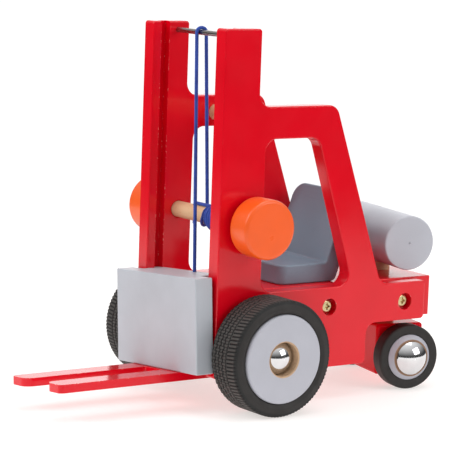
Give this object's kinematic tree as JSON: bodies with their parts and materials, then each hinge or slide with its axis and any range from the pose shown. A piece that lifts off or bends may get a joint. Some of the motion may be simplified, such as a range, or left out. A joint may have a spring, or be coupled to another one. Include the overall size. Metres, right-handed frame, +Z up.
{
  "type": "toy forklift",
  "caption": "Wooden toy forklift: cord winch lifts a sliding carriage with a fork plate between mast boards, rolling wheels, rear bogie steered by a cylinder above the deck.",
  "frame": {"origin": "on the floor, at the middle of the overall bounding box", "axes": "+Z up, -Y the way the truck drives, +X its left side"},
  "size_m": [0.1452, 0.2846, 0.2264],
  "materials": {
    "red_lacquer": "gloss lacquer on wood",
    "grey_paint": "satin paint on wood",
    "slate_paint": "satin paint on wood",
    "orange_paint": "gloss paint on turned wood",
    "natural_wood": "bare beech",
    "tyre_rubber": "matt rubber",
    "chrome": "mirror chrome",
    "steel": "bright drawn steel",
    "yellow_zinc": "yellow zinc plated",
    "cord": "braided cord"
  },
  "bodies": {
    "body": {"side_panel_left": "red_lacquer", "side_panel_right": "red_lacquer", "chassis_block": "red_lacquer", "panel_screws": "yellow_zinc", "roof_dowel": "natural_wood", "mast_rod": "steel", "seat": "slate_paint", "front_axle": "steel", "front_cap_left": "chrome", "front_cap_right": "chrome", "cord_over_rod": "cord"},
    "carriage": {"carriage_block": "grey_paint", "fork_plate": "red_lacquer", "fork_screws": "yellow_zinc", "cord_front_strand": "cord"},
    "winch": {"winch_dowel": "natural_wood", "winch_knob_left": "orange_paint", "winch_knob_right": "orange_paint", "cord_winding": "cord", "cord_lead": "cord"},
    "front_wheel_left": {"front_hub_left": "grey_paint", "front_tyre_left": "tyre_rubber"},
    "front_wheel_right": {"front_hub_right": "grey_paint", "front_tyre_right": "tyre_rubber"},
    "steering": {"bogie_block": "red_lacquer", "steering_spacer": "natural_wood", "steering_pin": "natural_wood", "tank": "grey_paint", "rear_axle": "steel", "rear_cap_left": "chrome", "rear_cap_right": "chrome"},
    "rear_wheel_left": {"rear_hub_left": "grey_paint", "rear_tyre_left": "tyre_rubber"},
    "rear_wheel_right": {"rear_hub_right": "grey_paint", "rear_tyre_right": "tyre_rubber"}
  },
  "joints": [
    {"name": "carriage_lift", "type": "slide", "parent": "body", "child": "carriage", "axis": [0, 0, 1], "range_m": [-0.012, 0.125], "deforming": ["cord_front_strand"]},
    {"name": "winch_turn", "type": "hinge", "parent": "body", "child": "winch", "pos_m": [0, -0.02145, 0.1107], "axis": [-1, 0, 0], "range_deg": [-104, 1081]},
    {"name": "front_left_spin", "type": "hinge", "parent": "body", "child": "front_wheel_left", "pos_m": [0.06, -0.01425, 0.035], "axis": [1, 0, 0], "continuous": true},
    {"name": "front_right_spin", "type": "hinge", "parent": "body", "child": "front_wheel_right", "pos_m": [-0.06, -0.01425, 0.035], "axis": [1, 0, 0], "continuous": true},
    {"name": "rear_steer", "type": "hinge", "parent": "body", "child": "steering", "pos_m": [0, 0.11415, 0.045], "axis": [0, 0, 1], "range_deg": [-13.6, 36.4]},
    {"name": "rear_left_spin", "type": "hinge", "parent": "steering", "child": "rear_wheel_left", "pos_m": [0.03637, 0.10682, 0.0204], "axis": [0.9803, -0.1977, 0], "continuous": true},
    {"name": "rear_right_spin", "type": "hinge", "parent": "steering", "child": "rear_wheel_right", "pos_m": [-0.03637, 0.12148, 0.0204], "axis": [0.9803, -0.1977, 0], "continuous": true}
  ],
  "couplings": [
    {"joint": "winch_turn", "follows": "carriage_lift", "rad_per_m": 150.8}
  ]
}
